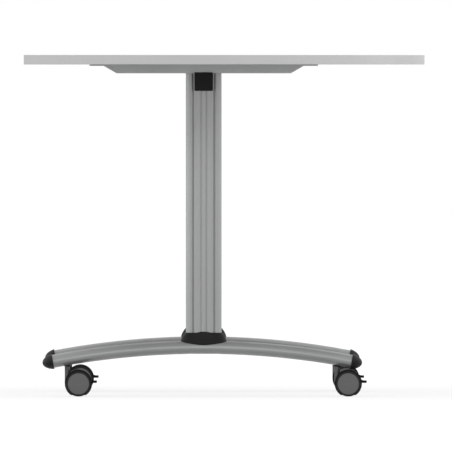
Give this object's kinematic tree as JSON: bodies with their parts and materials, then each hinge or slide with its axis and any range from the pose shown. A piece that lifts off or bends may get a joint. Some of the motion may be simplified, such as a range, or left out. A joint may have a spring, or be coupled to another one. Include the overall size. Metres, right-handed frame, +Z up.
{
  "type": "half-round mobile table",
  "caption": "Half-disc table top on T-legs with fluted columns, arched oval feet and braked castors; a mobile conference table.",
  "frame": {"origin": "on the floor under the middle of the table's bounding box", "axes": "+Z up; +X from the straight edge to the crown of the round edge; +Y along the straight edge"},
  "size_m": [0.8448, 1.69, 0.72],
  "materials": {
    "tabletop": "matt light grey laminate",
    "edge_band": "satin light grey",
    "bracket_paint": "satin silver grey",
    "silver_paint": "satin silver grey",
    "column_aluminium": "matt anodised",
    "cast_saddle": "cast",
    "steel": "zinc plated",
    "black_plastic": "fine grain black",
    "grey_plastic": "satin dark grey",
    "pedal_plastic": "satin black",
    "tyre_rubber": "matt black"
  },
  "bodies": {
    "table": {"tabletop_board": "tabletop", "round_edge_band": "edge_band", "straight_edge_band": "edge_band", "crossbar": "silver_paint", "bracket_screws": "steel", "column_screws": "steel", "foot_bolts": "steel", "top_bracket_left": "bracket_paint", "column_left": "column_aluminium", "crossbar_plug_left": "black_plastic", "saddle_left": "cast_saddle", "boot_left": "black_plastic", "foot_tube_left": "silver_paint", "end_cap_front_left": "black_plastic", "castor_bush_front_left": "black_plastic", "end_cap_rear_left": "black_plastic", "castor_bush_rear_left": "black_plastic", "top_bracket_right": "bracket_paint", "column_right": "column_aluminium", "crossbar_plug_right": "black_plastic", "saddle_right": "cast_saddle", "boot_right": "black_plastic", "foot_tube_right": "silver_paint", "end_cap_front_right": "black_plastic", "castor_bush_front_right": "black_plastic", "end_cap_rear_right": "black_plastic", "castor_bush_rear_right": "black_plastic"},
    "front_left_castor": {"front_left_stem": "steel", "front_left_housing": "black_plastic", "front_left_axle": "steel"},
    "front_left_outer_wheel": {"front_left_outer_rim": "grey_plastic", "front_left_outer_tyre": "tyre_rubber"},
    "front_left_inner_wheel": {"front_left_inner_rim": "grey_plastic", "front_left_inner_tyre": "tyre_rubber"},
    "front_left_brake": {"front_left_pedal": "pedal_plastic"},
    "rear_left_castor": {"rear_left_stem": "steel", "rear_left_housing": "black_plastic", "rear_left_axle": "steel"},
    "rear_left_outer_wheel": {"rear_left_outer_rim": "grey_plastic", "rear_left_outer_tyre": "tyre_rubber"},
    "rear_left_inner_wheel": {"rear_left_inner_rim": "grey_plastic", "rear_left_inner_tyre": "tyre_rubber"},
    "rear_left_brake": {"rear_left_pedal": "pedal_plastic"},
    "front_right_castor": {"front_right_stem": "steel", "front_right_housing": "black_plastic", "front_right_axle": "steel"},
    "front_right_outer_wheel": {"front_right_outer_rim": "grey_plastic", "front_right_outer_tyre": "tyre_rubber"},
    "front_right_inner_wheel": {"front_right_inner_rim": "grey_plastic", "front_right_inner_tyre": "tyre_rubber"},
    "front_right_brake": {"front_right_pedal": "pedal_plastic"},
    "rear_right_castor": {"rear_right_stem": "steel", "rear_right_housing": "black_plastic", "rear_right_axle": "steel"},
    "rear_right_outer_wheel": {"rear_right_outer_rim": "grey_plastic", "rear_right_outer_tyre": "tyre_rubber"},
    "rear_right_inner_wheel": {"rear_right_inner_rim": "grey_plastic", "rear_right_inner_tyre": "tyre_rubber"},
    "rear_right_brake": {"rear_right_pedal": "pedal_plastic"}
  },
  "joints": [
    {"name": "front_left_swivel", "type": "hinge", "parent": "table", "child": "front_left_castor", "pos_m": [0.2345, 0.37, 0.0638], "axis": [0, 0, 1], "continuous": true},
    {"name": "front_left_outer_spin", "type": "hinge", "parent": "front_left_castor", "child": "front_left_outer_wheel", "pos_m": [0.2579, 0.37, 0.0269], "axis": [0, 1, 0], "continuous": true},
    {"name": "front_left_inner_spin", "type": "hinge", "parent": "front_left_castor", "child": "front_left_inner_wheel", "pos_m": [0.2579, 0.37, 0.0269], "axis": [0, 1, 0], "continuous": true},
    {"name": "front_left_brake_press", "type": "hinge", "parent": "front_left_castor", "child": "front_left_brake", "pos_m": [0.2749, 0.37, 0.0349], "axis": [0, 1, 0], "range_deg": [0, 12]},
    {"name": "rear_left_swivel", "type": "hinge", "parent": "table", "child": "rear_left_castor", "pos_m": [-0.3345, 0.37, 0.0638], "axis": [0, 0, 1], "continuous": true},
    {"name": "rear_left_outer_spin", "type": "hinge", "parent": "rear_left_castor", "child": "rear_left_outer_wheel", "pos_m": [-0.3111, 0.37, 0.0269], "axis": [0, 1, 0], "continuous": true},
    {"name": "rear_left_inner_spin", "type": "hinge", "parent": "rear_left_castor", "child": "rear_left_inner_wheel", "pos_m": [-0.3111, 0.37, 0.0269], "axis": [0, 1, 0], "continuous": true},
    {"name": "rear_left_brake_press", "type": "hinge", "parent": "rear_left_castor", "child": "rear_left_brake", "pos_m": [-0.2941, 0.37, 0.0349], "axis": [0, 1, 0], "range_deg": [0, 12]},
    {"name": "front_right_swivel", "type": "hinge", "parent": "table", "child": "front_right_castor", "pos_m": [0.2345, -0.37, 0.0638], "axis": [0, 0, 1], "continuous": true},
    {"name": "front_right_outer_spin", "type": "hinge", "parent": "front_right_castor", "child": "front_right_outer_wheel", "pos_m": [0.2579, -0.37, 0.0269], "axis": [0, 1, 0], "continuous": true},
    {"name": "front_right_inner_spin", "type": "hinge", "parent": "front_right_castor", "child": "front_right_inner_wheel", "pos_m": [0.2579, -0.37, 0.0269], "axis": [0, 1, 0], "continuous": true},
    {"name": "front_right_brake_press", "type": "hinge", "parent": "front_right_castor", "child": "front_right_brake", "pos_m": [0.2749, -0.37, 0.0349], "axis": [0, 1, 0], "range_deg": [0, 12]},
    {"name": "rear_right_swivel", "type": "hinge", "parent": "table", "child": "rear_right_castor", "pos_m": [-0.3345, -0.37, 0.0638], "axis": [0, 0, 1], "continuous": true},
    {"name": "rear_right_outer_spin", "type": "hinge", "parent": "rear_right_castor", "child": "rear_right_outer_wheel", "pos_m": [-0.3111, -0.37, 0.0269], "axis": [0, 1, 0], "continuous": true},
    {"name": "rear_right_inner_spin", "type": "hinge", "parent": "rear_right_castor", "child": "rear_right_inner_wheel", "pos_m": [-0.3111, -0.37, 0.0269], "axis": [0, 1, 0], "continuous": true},
    {"name": "rear_right_brake_press", "type": "hinge", "parent": "rear_right_castor", "child": "rear_right_brake", "pos_m": [-0.2941, -0.37, 0.0349], "axis": [0, 1, 0], "range_deg": [0, 12]}
  ]
}
